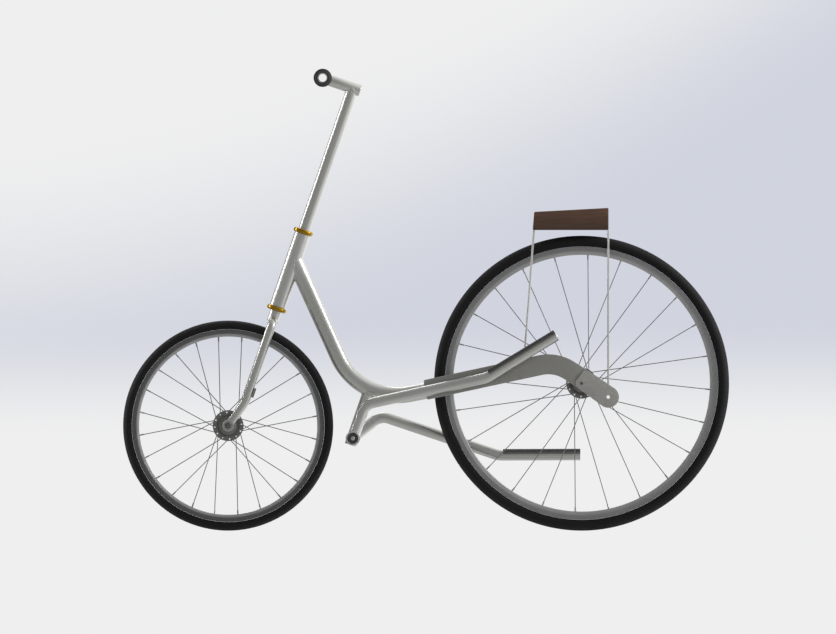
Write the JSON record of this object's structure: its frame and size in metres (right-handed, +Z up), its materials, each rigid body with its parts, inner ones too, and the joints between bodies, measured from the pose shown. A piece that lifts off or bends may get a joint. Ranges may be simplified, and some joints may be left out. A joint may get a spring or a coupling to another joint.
{
  "type": "stand-up treadle cycle",
  "caption": "Stand-up cycle with a large rear wheel, a small steered front wheel, a long stem, a straight handlebar, swinging foot levers and a block seat over the rear wheel.",
  "frame": {"origin": "on the ground plane, at the middle of the cycle's length and width", "axes": "+X points to the rear wheel (the front wheel is towards -X), the rider's left is -Y, +Z is up"},
  "size_m": [1.4214, 0.6, 1.0838],
  "materials": {
    "tube_paint": "warm light grey metallic paint, satin gloss",
    "arm_paint": "dark warm grey paint, semi-matt",
    "plate_paint": "mid warm grey paint, semi-matt",
    "brass": "brushed brass",
    "bright_steel": "bright turned steel",
    "dark_steel": "blackened steel",
    "bronze": "plain bronze bush",
    "hub_grey": "dark grey anodised",
    "rim_grey": "grey anodised",
    "tyre_rubber": "black tyre rubber",
    "grip_rubber": "matt black rubber",
    "wood": "dark brown stained wood"
  },
  "bodies": {
    "frame": {"head_tube": "tube_paint", "upper_headset_cup": "brass", "lower_headset_cup": "brass", "main_tube": "tube_paint", "pivot_post": "tube_paint", "pivot_tube": "dark_steel", "pivot_bolt": "bright_steel", "left_pivot_cap": "dark_steel", "right_pivot_cap": "dark_steel", "yoke_plate": "arm_paint", "left_arm": "arm_paint", "right_arm": "arm_paint", "left_dropout": "plate_paint", "right_dropout": "plate_paint", "left_axle_bolt": "dark_steel", "right_axle_bolt": "dark_steel", "rear_axle": "dark_steel", "seat_block": "wood", "left_front_stay": "tube_paint", "right_front_stay": "tube_paint", "left_rear_stay": "tube_paint", "right_rear_stay": "tube_paint"},
    "fork": {"steerer": "tube_paint", "upper_headset_bearing": "bright_steel", "lower_headset_bearing": "bright_steel", "stem_extension": "tube_paint", "handlebar": "bright_steel", "left_grip": "grip_rubber", "right_grip": "grip_rubber", "fork_crown": "tube_paint", "left_fork_blade": "tube_paint", "right_fork_blade": "tube_paint", "left_fork_end": "plate_paint", "right_fork_end": "plate_paint", "front_axle": "dark_steel", "left_front_axle_nut": "dark_steel", "right_front_axle_nut": "dark_steel", "brake_mount_tab": "dark_steel"},
    "front_wheel": {"front_tyre": "tyre_rubber", "front_rim": "rim_grey", "front_hub": "hub_grey", "front_left_spokes": "hub_grey", "front_right_spokes": "hub_grey", "front_left_bearing": "bright_steel", "front_right_bearing": "bright_steel"},
    "rear_wheel": {"rear_tyre": "tyre_rubber", "rear_rim": "rim_grey", "rear_hub": "hub_grey", "rear_left_spokes": "hub_grey", "rear_right_spokes": "hub_grey", "rear_left_bearing": "bright_steel", "rear_right_bearing": "bright_steel"},
    "left_treadle": {"left_lever": "tube_paint", "left_lever_hub": "tube_paint", "left_lever_bush": "bronze", "left_foot_strip": "grip_rubber"},
    "right_treadle": {"right_lever": "tube_paint", "right_lever_hub": "tube_paint", "right_lever_bush": "bronze", "right_foot_strip": "grip_rubber"}
  },
  "joints": [
    {"name": "steering", "type": "hinge", "parent": "frame", "child": "fork", "pos_m": [-0.288, 0, 0.7016], "axis": [0.3256, 0, 0.9455], "range_deg": [-60, 60]},
    {"name": "front_wheel_spin", "type": "hinge", "parent": "fork", "child": "front_wheel", "pos_m": [-0.46425, 0, 0.2465], "axis": [0, 1, 0], "continuous": true},
    {"name": "rear_wheel_spin", "type": "hinge", "parent": "frame", "child": "rear_wheel", "pos_m": [0.36475, 0, 0.346], "axis": [0, 1, 0], "continuous": true},
    {"name": "left_treadle_swing", "type": "hinge", "parent": "frame", "child": "left_treadle", "pos_m": [-0.1719, 0, 0.2167], "axis": [0, 1, 0], "range_deg": [0, 31]},
    {"name": "right_treadle_swing", "type": "hinge", "parent": "frame", "child": "right_treadle", "pos_m": [-0.1719, 0, 0.2167], "axis": [0, 1, 0], "range_deg": [-31, 0]}
  ],
  "couplings": [
    {"joint": "right_treadle_swing", "follows": "left_treadle_swing", "ratio": -1}
  ]
}
